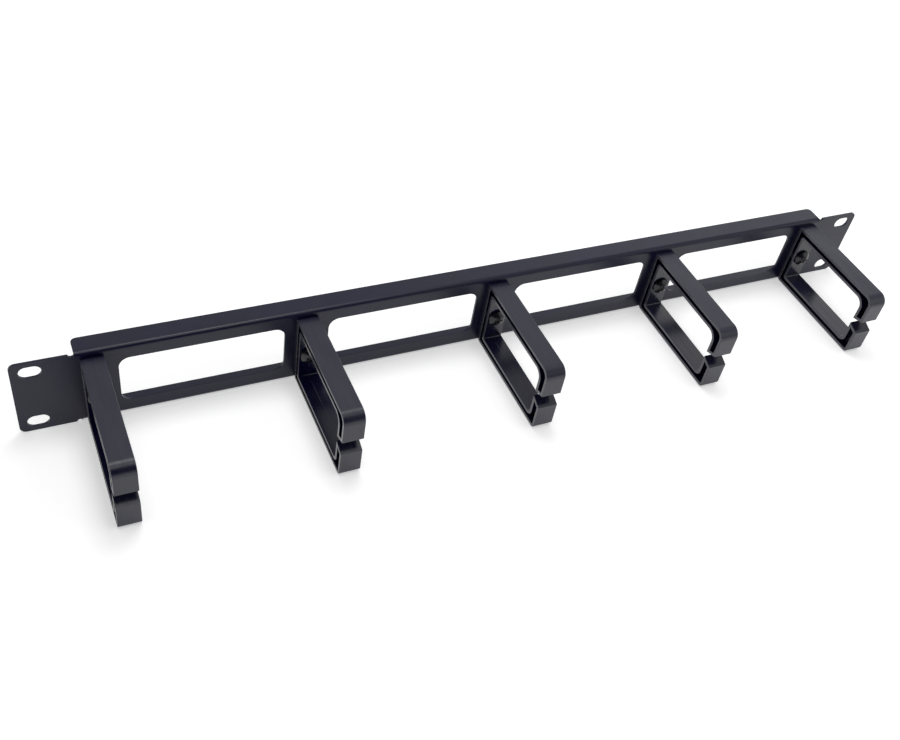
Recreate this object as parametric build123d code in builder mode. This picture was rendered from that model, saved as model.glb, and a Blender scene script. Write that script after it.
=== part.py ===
"""Horizontal cable manager, one rack unit high, for a 19-inch rack.

A folded steel panel carries a row of open plastic cable rings. Each ring is held by a pan head
screw through its base, with a spring lock washer and a hexagon nut behind the panel.

Frame: +X runs to the right along the panel, -Y is the front, where the rings stand out, and +Z is up.
The origin is on the front face of the panel, at the middle of its width and height.
"""

import os
from math import cos, radians, tan

from build123d import *

os.makedirs("parts", exist_ok=True)

# Panel outline and its rack slots
panel_width = 482.6
panel_height = 43.6
slot_length = 10.0
slot_width = 6.8
slot_end_inset = 8.75
slot_edge_inset = 5.925
ear_corner_radius = 3.2

# Folded sheet
sheet = 1.2
panel_depth = 10.8
bend_inside_radius = 0.8
ear_length = 28.1
flange_corner_radius = 2.6
relief_radius = 1.3

# Posts and windows
ring_count = 5
ring_pitch = 104.0
end_ring_inset = 7.5
post_width = 22.4
rail_height = 7.8
window_corner_radius = 5.4

# Ring outline
ring_width = 10.7
ring_depth = 67.6
ring_height = 39.5
ring_lift = 0.5
band = 5.4
hook_band = 6.6
upper_bend_outside = 5.5
upper_bend_inside = 4.8
lower_bend_outside = 2.5
lower_bend_inside = 2.2
base_bend_inside = 0.6
base_chamfer = 1.2

# Mouth of the ring: how far each hook's end stays from the ring's mid-height
upper_lip_inside = 1.8
upper_lip_outside = 3.6
lower_lip_inside = 1.8
lower_lip_outside = 4.7

# Ring section, an H with a web at mid-width
wall = 1.7
web = 1.6
boss_diameter = 9.0
ring_edge_round = 0.2

# M5 screw, washer and nut
screw_diameter = 5.0
screw_length = 14.0
screw_point_chamfer = 0.6
head_diameter = 9.5
head_height = 3.6
head_rim_height = 1.2
head_dome_radius = 9.0
cross_length = 5.0
cross_width = 1.4
cross_depth = 2.0
cross_taper = 8.0
hole_clearance = 0.25
washer_clearance = 0.15
washer_diameter = 9.2
washer_thickness = 1.2
washer_slit = 0.7
washer_slit_angle = 20.0
thread_clearance = 0.03
nut_sides = 6
nut_across_flats = 8.0
nut_height = 4.0
nut_chamfer_angle = 30.0

# Places that follow from the sizes above
panel_end = panel_width / 2
panel_top = panel_height / 2
flange_end = panel_end - ear_length
bend_outside_radius = bend_inside_radius + sheet
slot_x = panel_end - slot_end_inset
slot_z = panel_top - slot_edge_inset
end_ring_x = flange_end - end_ring_inset
inner_count = ring_count - 2
inner_row = ring_pitch * (inner_count - 1)
inner_rings = [number * ring_pitch - inner_row / 2 for number in range(inner_count)]
ring_places = [-end_ring_x, *inner_rings, end_ring_x]
window_height = panel_height - 2 * rail_height
ring_bottom = ring_lift - panel_top
ring_top = ring_bottom + ring_height
ring_middle = ring_bottom + ring_height / 2
hole_radius = screw_diameter / 2 + hole_clearance
nut_corner = nut_across_flats / 2 / cos(radians(180 / nut_sides))
nut_chamfer = (nut_corner - nut_across_flats / 2) * tan(radians(nut_chamfer_angle))


def across_screw(x, y):
    """A plane square to the screw of the ring at x, facing the front."""
    return Plane(origin=(x, y, ring_middle), x_dir=(1, 0, 0), z_dir=(0, -1, 0))


def along_screw(x, y):
    """A plane that holds the screw's axis, with its own y towards the back."""
    return Plane(origin=(x, y, ring_middle), x_dir=(1, 0, 0), z_dir=(0, 0, 1))


def screw_axis(x):
    """The axis of the screw of the ring at x."""
    return Axis((x, 0, ring_middle), (0, 1, 0))


def ring_outline():
    """The ring's corners in (y, z), each with its bend radius, from the top of the base round to its foot."""
    inside_front = hook_band - ring_depth
    return [
        ((0, ring_top), 0),
        ((-ring_depth, ring_top), upper_bend_outside),
        ((-ring_depth, ring_middle + upper_lip_outside), 0),
        ((inside_front, ring_middle + upper_lip_inside), 0),
        ((inside_front, ring_top - band), upper_bend_inside),
        ((-band, ring_top - band), base_bend_inside),
        ((-band, ring_bottom + band), base_bend_inside),
        ((inside_front, ring_bottom + band), lower_bend_inside),
        ((inside_front, ring_middle - lower_lip_inside), 0),
        ((-ring_depth, ring_middle - lower_lip_outside), 0),
        ((-ring_depth, ring_bottom), lower_bend_outside),
        ((-base_chamfer, ring_bottom), 0),
        ((0, ring_bottom + base_chamfer), 0),
    ]


# The panel is one folded sheet: a channel with two flanges, flat ears, windows, slots and screw holes
with BuildPart() as panel:
    with BuildSketch(Plane.YZ) as channel:
        with BuildLine():
            FilletPolyline(
                (panel_depth, panel_top),
                (0, panel_top),
                (0, -panel_top),
                (panel_depth, -panel_top),
                radius=bend_outside_radius,
            )
            offset(amount=sheet, side=Side.LEFT)
        make_face()
    extrude(amount=flange_end, both=True)
    fillet(panel.edges().filter_by(Axis.Z).group_by(Axis.Y)[-1], flange_corner_radius)

    with BuildSketch(Plane.XZ) as ears:
        Rectangle(panel_width, panel_height)
        fillet(ears.vertices(), ear_corner_radius)
        Rectangle(2 * flange_end, panel_height, mode=Mode.SUBTRACT)
        with GridLocations(2 * (flange_end + relief_radius), panel_height, 2, 2):
            Circle(relief_radius, mode=Mode.SUBTRACT)
    extrude(amount=-sheet)

    with BuildSketch(Plane.XZ) as openings:
        for left, right in zip(ring_places[:-1], ring_places[1:]):
            with Locations(((left + right) / 2, 0)):
                RectangleRounded(right - left - post_width, window_height, window_corner_radius)
        with GridLocations(2 * slot_x, 2 * slot_z, 2, 2):
            SlotOverall(slot_length, slot_width)
        with Locations([(place, ring_middle) for place in ring_places]):
            Circle(hole_radius)
    extrude(amount=-sheet, mode=Mode.SUBTRACT)
panel.part.label = "panel"
export_step(panel.part, "parts/panel.step")

for number, place in enumerate(ring_places, start=1):
    # The ring is one moulding, open at its mouth, with a recess in each side and a boss round the screw
    with BuildPart() as cable_ring:
        corners, bends = zip(*ring_outline())
        with BuildSketch(Plane.YZ.offset(place)) as outline:
            with BuildLine():
                FilletPolyline(*corners, radius=bends, close=True)
            make_face()
        extrude(amount=ring_width / 2, both=True)

        for side in (-1, 1):
            with BuildSketch(Plane.YZ.offset(place + side * ring_width / 2)) as recess:
                add(outline.sketch_local)
                offset(amount=-wall)
            extrude(amount=-side * (ring_width - web) / 2, mode=Mode.SUBTRACT)
        side_faces = cable_ring.faces().filter_by(Axis.X).group_by(Axis.X)
        fillet(side_faces[0].edges() + side_faces[-1].edges(), ring_edge_round)

        with BuildSketch(across_screw(place, -wall / 2)) as boss:
            Circle(boss_diameter / 2)
        extrude(amount=band - wall)
        with BuildSketch(across_screw(place, 0)) as ring_hole:
            Circle(hole_radius)
        extrude(amount=band, mode=Mode.SUBTRACT)
    cable_ring.part.label = f"cable_ring_{number}"
    export_step(cable_ring.part, f"parts/cable_ring_{number}.step")

    # The screw has a domed pan head with a cross recess, seated on the ring's inner band
    with BuildPart() as ring_screw:
        with BuildSketch(along_screw(place, -band)) as turned:
            with BuildLine():
                dome = RadiusArc((0, -head_height), (head_diameter / 2, -head_rim_height), -head_dome_radius)
                Polyline(
                    dome @ 1,
                    (head_diameter / 2, 0),
                    (screw_diameter / 2, 0),
                    (screw_diameter / 2, screw_length - screw_point_chamfer),
                    (screw_diameter / 2 - screw_point_chamfer, screw_length),
                    (0, screw_length),
                    dome @ 0,
                )
            make_face()
        revolve(axis=screw_axis(place))
        with BuildSketch(across_screw(place, -band - head_height)) as cross:
            Rectangle(cross_length, cross_width)
            Rectangle(cross_width, cross_length)
        extrude(amount=-cross_depth, taper=cross_taper, mode=Mode.SUBTRACT)
    ring_screw.part.label = f"ring_screw_{number}"
    export_step(ring_screw.part, f"parts/ring_screw_{number}.step")

    # The spring lock washer is a flat ring with one slanted slit, pressed flat on the back of the panel
    with BuildPart() as lock_washer:
        with BuildSketch(across_screw(place, sheet)) as washer_ring:
            Circle(washer_diameter / 2)
            Circle(screw_diameter / 2 + washer_clearance, mode=Mode.SUBTRACT)
        extrude(amount=-washer_thickness)
        with BuildSketch(across_screw(place, sheet).rotated((0, washer_slit_angle, 0))) as slit:
            with Locations((0, washer_diameter / 2)):
                Rectangle(washer_slit, washer_diameter)
        extrude(amount=2 * washer_thickness, both=True, mode=Mode.SUBTRACT)
    lock_washer.part.label = f"lock_washer_{number}"
    export_step(lock_washer.part, f"parts/lock_washer_{number}.step")

    # The hexagon nut is chamfered at its corners on both faces, and sits on the lock washer
    with BuildPart() as ring_nut:
        with BuildSketch(across_screw(place, sheet + washer_thickness)) as hexagon:
            RegularPolygon(nut_across_flats / 2, nut_sides, major_radius=False)
        extrude(amount=-nut_height)
        with BuildSketch(along_screw(place, sheet + washer_thickness)) as turned_corners:
            with BuildLine():
                Polyline(
                    (0, 0),
                    (nut_across_flats / 2, 0),
                    (nut_corner, nut_chamfer),
                    (nut_corner, nut_height - nut_chamfer),
                    (nut_across_flats / 2, nut_height),
                    (0, nut_height),
                    close=True,
                )
            make_face()
        revolve(axis=screw_axis(place), mode=Mode.INTERSECT)
        with BuildSketch(across_screw(place, sheet + washer_thickness)) as thread_bore:
            Circle(screw_diameter / 2 + thread_clearance)
        extrude(amount=-nut_height, mode=Mode.SUBTRACT)
    ring_nut.part.label = f"ring_nut_{number}"
    export_step(ring_nut.part, f"parts/ring_nut_{number}.step")
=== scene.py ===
"""Looks of the horizontal cable manager: finishes, screw threads, mould seams, floor, lights and camera."""

from math import pi, radians

import bmesh
import bpy
import numpy as np
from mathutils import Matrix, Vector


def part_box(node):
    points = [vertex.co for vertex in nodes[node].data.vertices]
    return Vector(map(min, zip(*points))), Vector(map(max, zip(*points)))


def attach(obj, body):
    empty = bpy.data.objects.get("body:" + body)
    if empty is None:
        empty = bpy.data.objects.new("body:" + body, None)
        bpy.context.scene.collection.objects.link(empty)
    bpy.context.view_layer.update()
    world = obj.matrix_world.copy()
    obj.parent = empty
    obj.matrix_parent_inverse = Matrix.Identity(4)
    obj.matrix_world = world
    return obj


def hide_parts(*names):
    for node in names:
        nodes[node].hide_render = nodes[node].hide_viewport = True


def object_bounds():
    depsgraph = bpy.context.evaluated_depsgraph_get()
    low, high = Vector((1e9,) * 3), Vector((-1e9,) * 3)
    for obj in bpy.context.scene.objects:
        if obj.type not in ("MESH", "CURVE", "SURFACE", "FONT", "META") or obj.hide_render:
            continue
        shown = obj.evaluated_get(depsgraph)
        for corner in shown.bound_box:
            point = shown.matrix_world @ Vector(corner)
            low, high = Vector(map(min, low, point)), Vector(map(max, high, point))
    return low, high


bl_info = {
    "name": "Horizontal cable manager",
    "version": (1, 0, 0),
    "blender": (4, 5, 0),
    "location": "3D View > Sidebar > Cable manager",
    "description": "Finishes and stages a one-unit rack panel with five open cable rings",
    "category": "Object",
}

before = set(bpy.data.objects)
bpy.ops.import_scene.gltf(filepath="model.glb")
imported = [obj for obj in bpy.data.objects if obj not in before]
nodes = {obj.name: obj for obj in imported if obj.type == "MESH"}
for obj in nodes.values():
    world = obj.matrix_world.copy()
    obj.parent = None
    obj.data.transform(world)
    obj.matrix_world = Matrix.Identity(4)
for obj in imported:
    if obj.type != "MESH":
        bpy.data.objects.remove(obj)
cad_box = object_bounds()
ring_numbers = range(1, 1 + sum(name.startswith("cable_ring_") for name in nodes))
mm = 0.001


def middle(node):
    """The middle of a CAD node's box, in metres."""
    low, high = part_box(node)
    return (low + high) / 2


# Materials

def new_finish(name, colour, roughness, specular):
    """A material with one Principled shader, whose even values are set on the shader's own sockets."""
    material = bpy.data.materials.new(name)
    material.use_nodes = True
    material.diffuse_color = (*colour, 1)
    tree = material.node_tree
    shader = tree.nodes["Principled BSDF"]
    shader.inputs["Base Color"].default_value = (*colour, 1)
    shader.inputs["Roughness"].default_value = roughness
    shader.inputs["Specular IOR Level"].default_value = specular
    return material, tree, shader


def place(tree, centre=(0, 0, 0), scale=(1, 1, 1)):
    """Object coordinates measured from a centre, in metres."""
    coordinates = tree.nodes.new("ShaderNodeTexCoord")
    mapping = tree.nodes.new("ShaderNodeMapping")
    mapping.inputs["Scale"].default_value = scale
    mapping.inputs["Location"].default_value = [-c * s for c, s in zip(centre, scale)]
    tree.links.new(coordinates.outputs["Object"], mapping.inputs["Vector"])
    return mapping.outputs["Vector"]


def grain(tree, vector, size, detail=3.0, roughness=0.5):
    """Cloudy noise from 0 to 1 with features about as large as size, in metres."""
    noise = tree.nodes.new("ShaderNodeTexNoise")
    noise.inputs["Scale"].default_value = 1 / size
    noise.inputs["Detail"].default_value = detail
    noise.inputs["Roughness"].default_value = roughness
    tree.links.new(vector, noise.inputs["Vector"])
    return noise.outputs["Fac"]


def between(tree, value, low, high, from_low=0.3, from_high=0.7):
    """A value stretched from one range into another."""
    stretch = tree.nodes.new("ShaderNodeMapRange")
    stretch.inputs["From Min"].default_value = from_low
    stretch.inputs["From Max"].default_value = from_high
    stretch.inputs["To Min"].default_value = low
    stretch.inputs["To Max"].default_value = high
    tree.links.new(value, stretch.inputs["Value"])
    return stretch.outputs["Result"]


def calculate(tree, operation, *values):
    """The result of a sum on values that are each a number or another node's output."""
    step = tree.nodes.new("ShaderNodeMath")
    step.operation = operation
    for socket, value in zip(step.inputs, values):
        if isinstance(value, bpy.types.NodeSocket):
            tree.links.new(value, socket)
        else:
            socket.default_value = value
    return step.outputs["Value"]


def blend_colours(tree, amount, first, second):
    """Two colours mixed by an amount from 0 to 1; each is a colour or another node's output."""
    mix = tree.nodes.new("ShaderNodeMix")
    mix.data_type = "RGBA"
    tree.links.new(amount, mix.inputs["Factor"])
    for socket, colour in ((mix.inputs["A"], first), (mix.inputs["B"], second)):
        if isinstance(colour, bpy.types.NodeSocket):
            tree.links.new(colour, socket)
        else:
            socket.default_value = (*colour, 1)
    return mix.outputs["Result"]


def mottled(tree, amount, colour, spread):
    """A colour that turns from a little darker to a little lighter as an amount goes from 0 to 1."""
    return blend_colours(tree, amount, colour * (1 - spread), colour * (1 + spread))


def raised(tree, height, depth, normal=None):
    """A bump of a given depth, in metres, on top of another bump if there is one."""
    bump = tree.nodes.new("ShaderNodeBump")
    bump.inputs["Strength"].default_value = 1.0
    bump.inputs["Distance"].default_value = depth
    tree.links.new(height, bump.inputs["Height"])
    if normal is not None:
        tree.links.new(normal, bump.inputs["Normal"])
    return bump.outputs["Normal"]


def specks(tree, vector, spacing, radius, share):
    """Small dots, 1 at the middle and 0 from their radius on, in a share of the cells of a given spacing."""
    cells = tree.nodes.new("ShaderNodeTexVoronoi")
    cells.inputs["Scale"].default_value = 1 / spacing
    tree.links.new(vector, cells.inputs["Vector"])
    near = between(tree, cells.outputs["Distance"], 1, 0, 0, radius / spacing)
    split = tree.nodes.new("ShaderNodeSeparateColor")
    tree.links.new(cells.outputs["Color"], split.inputs["Color"])
    chosen = calculate(tree, "LESS_THAN", split.outputs["Red"], share)
    return calculate(tree, "MULTIPLY", near, chosen)


def powder_coat(settings):
    """Black powder coat: satin, with a fine orange-peel surface, faint clouds and a few pale specks."""
    cloud_size, cloud_spread = 30 * mm, 0.15
    speck_spacing, speck_radius, speck_share = 5 * mm, 0.35 * mm, 0.3
    sheen_size, sheen_spread = 8 * mm, 0.03
    peel_size, peel_depth = settings.grain_size * 4, settings.grain_depth * 2
    colour = np.array(settings.colour)
    material, tree, shader = new_finish("powder_coat", colour, settings.roughness, settings.specular)
    here = place(tree)
    clouded = mottled(tree, between(tree, grain(tree, here, cloud_size), 0, 1), colour, cloud_spread)
    dots = specks(tree, here, speck_spacing, speck_radius, speck_share)
    tree.links.new(blend_colours(tree, dots, clouded, settings.speck_colour), shader.inputs["Base Color"])
    sheen = between(tree, grain(tree, here, sheen_size),
                    settings.roughness - sheen_spread, settings.roughness + sheen_spread)
    tree.links.new(sheen, shader.inputs["Roughness"])
    fine = raised(tree, grain(tree, here, settings.grain_size), settings.grain_depth)
    peel = raised(tree, grain(tree, here, peel_size, detail=1.0), peel_depth, fine)
    tree.links.new(peel, shader.inputs["Normal"])
    return material


def off_middle(tree, vector, axis, near, far):
    """0 up to a distance from the middle along an axis, rising to 1 at a farther distance, on both sides."""
    split = tree.nodes.new("ShaderNodeSeparateXYZ")
    tree.links.new(vector, split.inputs["Vector"])
    return between(tree, calculate(tree, "ABSOLUTE", split.outputs[axis]), 0, 1, near, far)


def ring_plastic(settings, number):
    """Black moulded plastic: glossier inside the ring, satin outside, with flow marks and a painted highlight
    of paler colour along the rims of the side walls.
    """
    rim_inner_edge, rim_outer_edge = 0.25 * mm, 0.05 * mm
    glossy_height, satin_height = 14.5 * mm, 17 * mm
    flow_stretch, flow_size, flow_spread = (1, 0.15, 1), 6 * mm, 0.15
    sheen_size, sheen_spread = 4 * mm, 0.04
    wave_size, wave_depth = 12 * mm, 0.06 * mm
    colour = np.array(settings.colour)
    material, tree, shader = new_finish(f"ring_plastic_{number}", colour, settings.roughness, settings.specular)
    centre = middle(f"cable_ring_{number}")
    here = place(tree, centre)
    along = place(tree, centre, flow_stretch)
    flow = between(tree, grain(tree, along, flow_size, detail=2.0), 0, 1)
    half_width = (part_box(f"cable_ring_{number}")[1] - centre).x
    # Painted highlight: a paler colour in a thin band at both side faces stands in for light caught on the
    # rounded edges of the walls.
    highlight_band = off_middle(tree, here, "X", half_width - rim_inner_edge, half_width - rim_outer_edge)
    highlighted = blend_colours(tree, highlight_band, mottled(tree, flow, colour, flow_spread), settings.rim_highlight_colour)
    tree.links.new(highlighted, shader.inputs["Base Color"])
    outside = off_middle(tree, here, "Z", glossy_height, satin_height)
    satin = between(tree, outside, settings.inner_roughness, settings.roughness, 0, 1)
    uneven = between(tree, grain(tree, along, sheen_size), -sheen_spread, sheen_spread)
    tree.links.new(calculate(tree, "ADD", satin, uneven), shader.inputs["Roughness"])
    fine = raised(tree, grain(tree, here, settings.grain_size), settings.grain_depth)
    waves = raised(tree, grain(tree, along, wave_size, detail=1.0), wave_depth, fine)
    tree.links.new(waves, shader.inputs["Normal"])
    return material


def black_plating(name, settings):
    """Black plated steel: dark, smooth, with a faint mottle and fine pits."""
    mottle_size, mottle_spread = 1.5 * mm, 0.2
    sheen_size, sheen_spread = 0.8 * mm, 0.06
    pit_size, pit_depth = 0.3 * mm, 0.004 * mm
    colour = np.array(settings.colour)
    material, tree, shader = new_finish(name, colour, settings.roughness, settings.specular)
    shader.inputs["Metallic"].default_value = settings.metallic
    here = place(tree)
    mottle = between(tree, grain(tree, here, mottle_size), 0, 1)
    tree.links.new(mottled(tree, mottle, colour, mottle_spread), shader.inputs["Base Color"])
    sheen = between(tree, grain(tree, here, sheen_size),
                    settings.roughness - sheen_spread, settings.roughness + sheen_spread)
    tree.links.new(sheen, shader.inputs["Roughness"])
    tree.links.new(raised(tree, grain(tree, here, pit_size), pit_depth), shader.inputs["Normal"])
    return material


def finish_piece(piece, material):
    """Gives every slot of a piece one material."""
    if not piece.material_slots:
        piece.data.materials.append(material)
    for material_slot in piece.material_slots:
        material_slot.material = material


# New surfaces

def new_piece(name, points, faces):
    """A mesh object at the origin from an array of points and an array of four-cornered faces."""
    mesh = bpy.data.meshes.new(name)
    mesh.from_pydata(points.tolist(), [], faces.tolist())
    mesh.update()
    piece = bpy.data.objects.new(name, mesh)
    bpy.context.scene.collection.objects.link(piece)
    return piece


def shade(piece, sharpest=radians(35)):
    """Smooth shading, with sharp edges where the faces meet at more than an angle."""
    piece.data.shade_smooth()
    piece.data.set_sharp_from_angle(angle=sharpest)


def grid_faces(rows, columns, close_rows=False):
    """Faces of a grid of points that is closed along its columns, and along its rows too if asked."""
    row = np.arange(rows if close_rows else rows - 1)[:, None]
    column = np.arange(columns)[None, :]
    next_row, next_column = (row + 1) % rows, (column + 1) % columns
    corners = [row * columns + column, row * columns + next_column,
               next_row * columns + next_column, next_row * columns + column]
    return np.stack(np.broadcast_arrays(*corners), axis=-1).reshape(-1, 4)


def flat_sheet(name, corner, along, across):
    """A flat sheet: the corner, plus u times one side, plus v times the other, on a grid of u and v."""
    lines = 7
    share = np.linspace(0, 1, lines)
    u, v = (axis.reshape(-1, 1) for axis in np.meshgrid(share, share, indexing="ij"))
    points = np.array(corner) + u * np.array(along) + v * np.array(across)
    row = np.arange(lines - 1)
    first = (row[:, None] * lines + row[None, :]).ravel()
    faces = np.stack([first, first + lines, first + lines + 1, first + 1], axis=-1)
    return new_piece(name, points, faces)


def rounded_path(corners, steps):
    """A closed outline with its corners rounded, and the outward direction at each point.

    At a corner with bend radius r the arc's middle lies on the corner's bisector, at r / sin(half the
    corner's angle), and the arc runs between the two points where it touches the sides. A sharp corner
    gives one point.
    """
    places = np.array([corner for corner, _ in corners], float)
    points = []
    for index, (corner, radius) in enumerate(corners):
        corner = np.array(corner, float)
        before = places[index - 1] - corner
        after = places[(index + 1) % len(places)] - corner
        before, after = before / np.linalg.norm(before), after / np.linalg.norm(after)
        if radius == 0:
            points.append(corner[None])
            continue
        half = np.arccos(before @ after) / 2
        inward = (before + after) / np.linalg.norm(before + after)
        arc_middle = corner + inward * radius / np.sin(half)
        touch = radius / np.tan(half)
        start, end = corner + before * touch - arc_middle, corner + after * touch - arc_middle
        share = np.linspace(0, 1, steps)[:, None]
        turn = np.arccos(np.clip(start @ end / radius ** 2, -1, 1))
        arc = (np.sin((1 - share) * turn) * start + np.sin(share * turn) * end) / np.sin(turn)
        points.append(arc_middle + arc)
    path = np.concatenate(points)
    along = np.roll(path, -1, 0) - np.roll(path, 1, 0)
    outward = np.stack([along[:, 1], -along[:, 0]], axis=1)
    outward /= np.linalg.norm(outward, axis=1)[:, None]
    area = np.sum(path[:, 0] * np.roll(path[:, 1], -1) - path[:, 1] * np.roll(path[:, 0], -1))
    return path, outward * np.sign(area)


def ring_outline():
    """The ring's corners in (y, z), in metres, with their bend radii, in the same order as in the CAD source.

    The outer sizes come from the CAD node's box, and the bands, the bends and the lips are the CAD's own.
    """
    band, hook_band = 5.4 * mm, 6.6 * mm
    upper_bend_outside, upper_bend_inside = 5.5 * mm, 4.8 * mm
    lower_bend_outside, lower_bend_inside = 2.5 * mm, 2.2 * mm
    base_bend_inside, base_chamfer = 0.6 * mm, 1.2 * mm
    upper_lip_outside, upper_lip_inside = 3.6 * mm, 1.8 * mm
    lower_lip_outside, lower_lip_inside = 4.7 * mm, 1.8 * mm
    low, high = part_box("cable_ring_1")
    front, bottom, top = low.y, low.z, high.z
    half = (bottom + top) / 2
    return [
        ((0, top), 0),
        ((front, top), upper_bend_outside),
        ((front, half + upper_lip_outside), 0),
        ((front + hook_band, half + upper_lip_inside), 0),
        ((front + hook_band, top - band), upper_bend_inside),
        ((-band, top - band), base_bend_inside),
        ((-band, bottom + band), base_bend_inside),
        ((front + hook_band, bottom + band), lower_bend_inside),
        ((front + hook_band, half - lower_lip_inside), 0),
        ((front, half - lower_lip_outside), 0),
        ((front, bottom), lower_bend_outside),
        ((-base_chamfer, bottom), 0),
        ((0, bottom + base_chamfer), 0),
    ]


def mould_seam(name, across, width, height):
    """The fine ridge that the two halves of the mould leave round a ring, at its mid-width.

    The profile is a flat ellipse, half sunk in the plastic, carried along the ring's outline: at angle a
    it stands width / 2 * cos(a) across the ring and height * sin(a) out from the outline.
    """
    bend_steps, sides = 9, 8
    path, outward = rounded_path(ring_outline(), bend_steps)
    angle = np.arange(sides) / sides * 2 * pi
    out = path[:, None, :] + outward[:, None, :] * (height * np.sin(angle))[None, :, None]
    sideways = np.broadcast_to(across + width / 2 * np.cos(angle), out.shape[:2])
    points = np.concatenate([sideways[..., None], out], axis=-1).reshape(-1, 3)
    piece = new_piece(name, points, grid_faces(len(path), sides, close_rows=True))
    face_outwards(piece)
    return piece


def face_outwards(piece):
    """Merges doubled points, turns every face outwards and shades the piece smooth."""
    work = bmesh.new()
    work.from_mesh(piece.data)
    bmesh.ops.remove_doubles(work, verts=work.verts, dist=1e-7)
    bmesh.ops.recalc_face_normals(work, faces=work.faces)
    work.to_mesh(piece.data)
    work.free()
    shade(piece)


def threaded_end(name, axis, start, tip, settings):
    """The screw's last turns, closed at both ends.

    At angle a and depth y the radius is the crest's, less the groove's depth times a wave of
    y / pitch - a / full turn that is flat for an eighth of the pitch at its crest and a quarter at its
    root. It is never more than the cone at the tip.
    """
    rows, columns = 60, 72
    crest_flat, root_flat = 1 / 8, 1 / 4
    tip_chamfer = 0.6 * mm
    depth_at = np.linspace(start, tip, rows)
    angle = np.arange(columns) / columns * 2 * pi
    turn = (depth_at[:, None] - start) / settings.thread_pitch - angle[None, :] / (2 * pi)
    from_crest = np.abs((turn % 1) - 0.5) * 2
    groove = np.clip((from_crest - crest_flat) / (1 - crest_flat - root_flat), 0, 1)
    cone = settings.thread_radius - tip_chamfer + (tip - depth_at)[:, None]
    reach = np.minimum(settings.thread_radius - settings.thread_depth * groove, cone)
    closed = np.zeros((1, columns))
    reach = np.concatenate([closed, reach, closed])
    depth_at = np.broadcast_to(np.concatenate([[start], depth_at, [tip]])[:, None], reach.shape)
    points = np.stack([axis.x + reach * np.cos(angle), depth_at, axis.z + reach * np.sin(angle)], axis=-1)
    piece = new_piece(name, points.reshape(-1, 3), grid_faces(rows + 2, columns))
    face_outwards(piece)
    return piece


def threaded_screw(number, settings):
    """The CAD screw with its plain end, from inside the nut to the tip, changed for a threaded one."""
    source = f"ring_screw_{number}"
    name = f"threaded_screw_{number}"
    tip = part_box(source)[1].y
    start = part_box(f"ring_nut_{number}")[1].y - settings.thread_pitch
    end = threaded_end(f"threaded_end_{number}", middle(source), start, tip, settings)
    work = bmesh.new()
    work.from_mesh(nodes[source].data)
    bmesh.ops.remove_doubles(work, verts=work.verts, dist=1e-6)
    everything = work.verts[:] + work.edges[:] + work.faces[:]
    bmesh.ops.bisect_plane(work, geom=everything, plane_co=(0, start, 0), plane_no=(0, 1, 0), clear_outer=True)
    bmesh.ops.holes_fill(work, edges=[edge for edge in work.edges if edge.is_boundary])
    work.from_mesh(end.data)
    bmesh.ops.recalc_face_normals(work, faces=work.faces)
    mesh = bpy.data.meshes.new(name)
    work.to_mesh(mesh)
    work.free()
    bpy.data.objects.remove(end)
    screw = bpy.data.objects.new(name, mesh)
    bpy.context.scene.collection.objects.link(screw)
    shade(screw, sharpest=radians(25))
    return screw


# Settings

class PanelFinish(bpy.types.PropertyGroup):
    """Powder coat of the folded panel."""

    colour: bpy.props.FloatVectorProperty(
        name="Coat colour", description="Colour of the powder coat", subtype="COLOR", min=0, max=1,
        default=(0.0018, 0.0026, 0.0240))
    speck_colour: bpy.props.FloatVectorProperty(
        name="Speck colour", description="Colour of the small pale specks", subtype="COLOR", min=0, max=1,
        default=(0.09, 0.09, 0.11))
    roughness: bpy.props.FloatProperty(
        name="Roughness", description="How matt the coat is", subtype="FACTOR", min=0, max=1, default=0.33)
    specular: bpy.props.FloatProperty(
        name="Reflection", description="How strongly the coat reflects", subtype="FACTOR", min=0, max=1,
        default=0.42)
    grain_size: bpy.props.FloatProperty(
        name="Grain size", description="Width of the coat's fine bumps", subtype="DISTANCE", unit="LENGTH",
        min=0.0001, default=0.0009)
    grain_depth: bpy.props.FloatProperty(
        name="Grain depth", description="Height of the coat's fine bumps", subtype="DISTANCE", unit="LENGTH",
        min=0, default=0.00001)


class RingFinish(bpy.types.PropertyGroup):
    """Moulded plastic of the cable rings."""

    colour: bpy.props.FloatVectorProperty(
        name="Plastic colour", description="Colour of the plastic", subtype="COLOR", min=0, max=1,
        default=(0.0015, 0.0018, 0.0210))
    roughness: bpy.props.FloatProperty(
        name="Outer roughness", description="How matt the outside of a ring is", subtype="FACTOR", min=0, max=1,
        default=0.36)
    inner_roughness: bpy.props.FloatProperty(
        name="Inner roughness", description="How matt the inside of a ring is", subtype="FACTOR", min=0, max=1,
        default=0.2)
    # The rim colour is a painted highlight, a paler colour along the edges of the side walls.
    rim_highlight_colour: bpy.props.FloatVectorProperty(
        name="Rim colour", description="Colour of the scuffed edges of the side walls", subtype="COLOR", min=0,
        max=1, default=(0.05, 0.047, 0.068))
    specular: bpy.props.FloatProperty(
        name="Reflection", description="How strongly the plastic reflects", subtype="FACTOR", min=0, max=1,
        default=0.62)
    grain_size: bpy.props.FloatProperty(
        name="Grain size", description="Width of the plastic's fine bumps", subtype="DISTANCE", unit="LENGTH",
        min=0.0001, default=0.0005)
    grain_depth: bpy.props.FloatProperty(
        name="Grain depth", description="Height of the plastic's fine bumps", subtype="DISTANCE", unit="LENGTH",
        min=0, default=0.000004)
    seam_width: bpy.props.FloatProperty(
        name="Seam width", description="Width of the mould seam's ridge", subtype="DISTANCE", unit="LENGTH",
        min=0, default=0.0003)
    seam_height: bpy.props.FloatProperty(
        name="Seam height", description="Height of the mould seam's ridge", subtype="DISTANCE", unit="LENGTH",
        min=0, default=0.00003)


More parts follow.
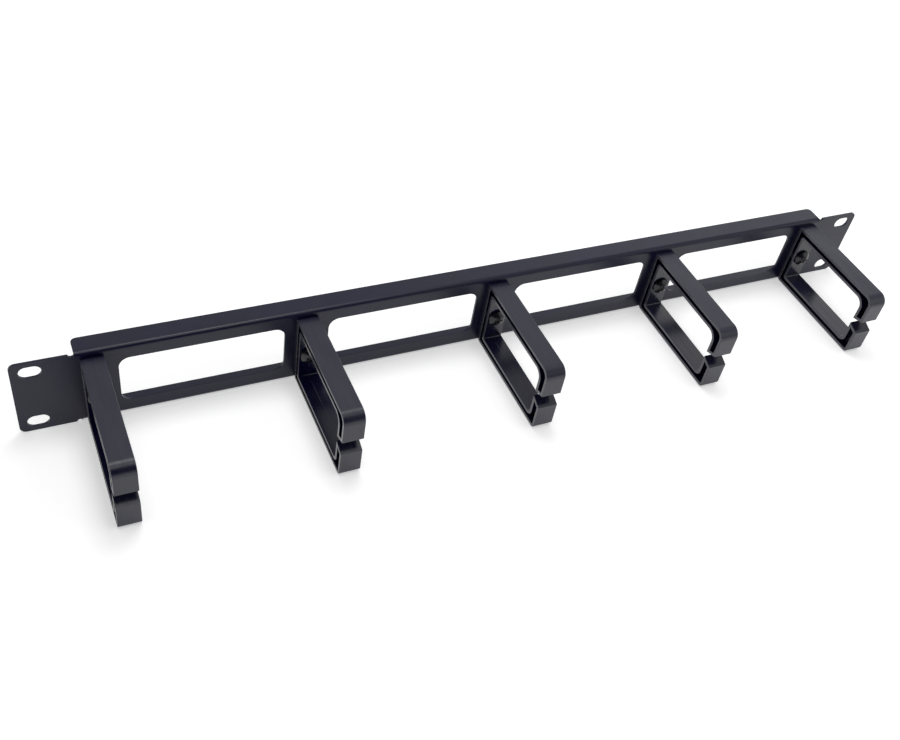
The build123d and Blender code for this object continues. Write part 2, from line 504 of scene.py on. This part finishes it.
class HardwareFinish(bpy.types.PropertyGroup):
    """Black plated screws, washers and nuts."""

    thread_pitch: bpy.props.FloatProperty(
        name="Thread pitch", description="Distance from one turn of the thread to the next", subtype="DISTANCE",
        unit="LENGTH", min=0.0002, default=0.0008)
    thread_depth: bpy.props.FloatProperty(
        name="Thread depth", description="Depth of the thread's groove", subtype="DISTANCE", unit="LENGTH",
        min=0, default=0.00049)
    thread_radius: bpy.props.FloatProperty(
        name="Thread radius", description="Radius at the thread's crest", subtype="DISTANCE", unit="LENGTH",
        min=0.0005, default=0.0025)
    colour: bpy.props.FloatVectorProperty(
        name="Plating colour", description="Colour of the black plating", subtype="COLOR", min=0, max=1,
        default=(0.006, 0.006, 0.012))
    roughness: bpy.props.FloatProperty(
        name="Roughness", description="How matt the plating is", subtype="FACTOR", min=0, max=1, default=0.24)
    specular: bpy.props.FloatProperty(
        name="Reflection", description="How strongly the plating reflects", subtype="FACTOR", min=0, max=1,
        default=0.5)
    metallic: bpy.props.FloatProperty(
        name="Metal", description="Share of bare metal in the plating's look", subtype="FACTOR", min=0, max=1,
        default=0.0)


class StudioSettings(bpy.types.PropertyGroup):
    """Floor, lights and camera."""

    floor_colour: bpy.props.FloatVectorProperty(
        name="Floor colour", description="Colour of the floor", subtype="COLOR", min=0, max=1,
        default=(0.9, 0.9, 0.9))
    floor_glow: bpy.props.FloatProperty(
        name="Floor glow", description="Extra brightness of the floor where it is seen directly", min=0,
        default=0.42)
    world_strength: bpy.props.FloatProperty(
        name="Room light", description="Strength of the even light from all round", min=0, default=0.46)
    lamp_share: bpy.props.FloatProperty(
        name="Lamps", description="Strength of all the lamps together, where 1 is as photographed", min=0,
        default=1.0)
    camera_place: bpy.props.FloatVectorProperty(
        name="Camera place", description="Where the camera stands", subtype="TRANSLATION", unit="LENGTH",
        default=(-0.24260, -0.36278, 0.37782))
    camera_turn: bpy.props.FloatVectorProperty(
        name="Camera turn", description="How the camera is turned", subtype="EULER", unit="ROTATION",
        default=(radians(44.8944), radians(-8.0625), radians(-23.6614)))
    lens: bpy.props.FloatProperty(
        name="Lens", description="Focal length on a 36 mm wide sensor, in millimetres", min=1, default=43.225)


# Lamps: name, place, side of the square, and power in watts
LAMPS = (
    ("softbox_above", (0.0, 0.0, 1.5), 1.0, 2.0),
    ("softbox_front_above", (0.0, -0.6, 1.35), 0.5, 1.2),
    ("softbox_behind", (0.0, 1.4, 0.55), 1.0, 1.9),
    ("softbox_back_right", (1.0, 1.0, 0.6), 1.0, 2.4),
    ("softbox_right", (0.9, 0.0, 1.2), 1.0, 1.0),
    ("softbox_front_right", (1.0, -1.0, 0.6), 1.0, 3.2),
    ("spotlight_above", (0.0, 0.25, 1.0), 0.3, 1.9),
)


# Operators

class CABLEMANAGER_OT_panel(bpy.types.Operator):
    """Coats the folded panel"""

    bl_idname = "cablemanager.panel"
    bl_label = "Coat the panel"

    def execute(self, context):
        finish_piece(nodes["panel"], powder_coat(context.scene.cable_panel_finish))
        return {"FINISHED"}


class CABLEMANAGER_OT_rings(bpy.types.Operator):
    """Gives each cable ring its plastic and its mould seam"""

    bl_idname = "cablemanager.rings"
    bl_label = "Finish the rings"

    def execute(self, context):
        settings = context.scene.cable_ring_finish
        for number in ring_numbers:
            plastic = ring_plastic(settings, number)
            finish_piece(nodes[f"cable_ring_{number}"], plastic)
            across = middle(f"cable_ring_{number}").x
            seam = mould_seam(f"mould_seam_{number}", across, settings.seam_width, settings.seam_height)
            finish_piece(seam, plastic)
            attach(seam, "root")
        return {"FINISHED"}


class CABLEMANAGER_OT_hardware(bpy.types.Operator):
    """Plates the washers and nuts, and makes the screws with their threaded ends"""

    bl_idname = "cablemanager.hardware"
    bl_label = "Plate the hardware"

    def execute(self, context):
        settings = context.scene.cable_hardware_finish
        for part in ("lock_washer", "ring_nut"):
            plating = black_plating(f"{part}_plating", settings)
            for number in ring_numbers:
                finish_piece(nodes[f"{part}_{number}"], plating)
        plating = black_plating("screw_plating", settings)
        for number in ring_numbers:
            screw = threaded_screw(number, settings)
            finish_piece(screw, plating)
            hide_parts(f"ring_screw_{number}")
            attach(screw, "root")
        return {"FINISHED"}


class CABLEMANAGER_OT_stage(bpy.types.Operator):
    """Sets the floor, the lights and the camera"""

    bl_idname = "cablemanager.stage"
    bl_label = "Set the stage"

    def execute(self, context):
        settings = context.scene.cable_studio
        scene = context.scene
        scene.view_settings.view_transform = "Standard"
        self.lay_floor(settings)
        self.stand_screen()
        self.light_room(scene, settings)
        for name, spot, side, power in LAMPS:
            self.hang_lamp(name, spot, side, power * settings.lamp_share)
        self.stand_camera(scene, settings)
        return {"FINISHED"}

    def lay_floor(self, settings):
        """A wide flat floor under the object, at its lowest point, which glows where it is seen directly."""
        reach = 3
        floor = flat_sheet("floor", (-reach, -reach, cad_box[0].z), (2 * reach, 0, 0), (0, 2 * reach, 0))
        material = bpy.data.materials.new("floor_paint")
        material.use_nodes = True
        tree = material.node_tree
        tree.nodes.remove(tree.nodes["Principled BSDF"])
        paint = tree.nodes.new("ShaderNodeBsdfDiffuse")
        paint.inputs["Color"].default_value = (*settings.floor_colour, 1)
        glow = tree.nodes.new("ShaderNodeEmission")
        strength = calculate(tree, "MULTIPLY", self.seen_directly(tree), settings.floor_glow)
        tree.links.new(strength, glow.inputs["Strength"])
        both = tree.nodes.new("ShaderNodeAddShader")
        tree.links.new(paint.outputs["BSDF"], both.inputs[0])
        tree.links.new(glow.outputs["Emission"], both.inputs[1])
        tree.links.new(both.outputs["Shader"], tree.nodes["Material Output"].inputs["Surface"])
        finish_piece(floor, material)

    def stand_screen(self):
        """A dark screen in front, which the camera doesn't see, for dark reflections along the bends."""
        distance, width, height = 1.4, 4, 1.9
        corner = (width / 2, -distance, cad_box[0].z)
        screen = flat_sheet("dark_screen", corner, (-width, 0, 0), (0, 0, height))
        cloth = new_finish("dark_cloth", (0.02, 0.02, 0.02), roughness=0.9, specular=0.2)[0]
        finish_piece(screen, cloth)
        screen.visible_camera = False
        screen.visible_shadow = False

    def light_room(self, scene, settings):
        """An even pale room."""
        world = bpy.data.worlds.new("room")
        world.use_nodes = True
        scene.world = world
        tree = world.node_tree
        background = tree.nodes["Background"]
        background.inputs["Color"].default_value = (1, 1, 1, 1)
        background.inputs["Strength"].default_value = settings.world_strength

    def seen_directly(self, tree):
        """1 for a ray from the camera, a mirror or through glass, and 0 for light that only fills the room."""
        path = tree.nodes.new("ShaderNodeLightPath")
        seen = calculate(tree, "MAXIMUM", path.outputs["Is Camera Ray"], path.outputs["Is Glossy Ray"])
        return calculate(tree, "MAXIMUM", seen, path.outputs["Is Transmission Ray"])

    def hang_lamp(self, name, spot, side, power):
        """A square lamp that faces the origin, at the middle of the panel's front."""
        light = bpy.data.lights.new(name, "AREA")
        light.shape = "SQUARE"
        light.size = side
        light.energy = power
        lamp = bpy.data.objects.new(name, light)
        lamp.location = spot
        lamp.rotation_euler = lamp.location.to_track_quat("Z", "Y").to_euler()
        bpy.context.scene.collection.objects.link(lamp)

    def stand_camera(self, scene, settings):
        """The camera at the photograph's viewpoint."""
        camera = bpy.data.cameras.new("camera")
        camera.sensor_width = 36
        camera.lens = settings.lens
        camera.clip_start = 0.01
        viewer = bpy.data.objects.new("camera", camera)
        viewer.location = settings.camera_place
        viewer.rotation_euler = settings.camera_turn
        scene.collection.objects.link(viewer)
        scene.camera = viewer


class CABLEMANAGER_PT_sidebar(bpy.types.Panel):
    """Lists the sizes, the finishes and the steps"""

    bl_idname = "CABLEMANAGER_PT_sidebar"
    bl_label = "Cable manager"
    bl_space_type = "VIEW_3D"
    bl_region_type = "UI"
    bl_category = "Cable manager"

    def draw(self, context):
        for owner, kind, step in STEPS:
            box = self.layout.box()
            box.operator(step.bl_idname)
            for name in kind.__annotations__:
                box.prop(getattr(context.scene, owner), name)


# Steps: the scene's name for the settings, the class of the settings, and the operator that uses them
STEPS = (
    ("cable_panel_finish", PanelFinish, CABLEMANAGER_OT_panel),
    ("cable_ring_finish", RingFinish, CABLEMANAGER_OT_rings),
    ("cable_hardware_finish", HardwareFinish, CABLEMANAGER_OT_hardware),
    ("cable_studio", StudioSettings, CABLEMANAGER_OT_stage),
)
CLASSES = (*(kind for _, kind, _ in STEPS), *(step for _, _, step in STEPS), CABLEMANAGER_PT_sidebar)


def register():
    """Registers the classes and gives the scene its settings."""
    for kind in CLASSES:
        bpy.utils.register_class(kind)
    for owner, kind, _ in STEPS:
        setattr(bpy.types.Scene, owner, bpy.props.PointerProperty(type=kind))


def unregister():
    """Takes the settings and the classes away again."""
    for owner, _, _ in STEPS:
        delattr(bpy.types.Scene, owner)
    for kind in reversed(CLASSES):
        bpy.utils.unregister_class(kind)


def main():
    register()
    bpy.ops.cablemanager.panel()
    bpy.ops.cablemanager.rings()
    bpy.ops.cablemanager.hardware()
    bpy.ops.cablemanager.stage()


if __name__ == "__main__":
    main()
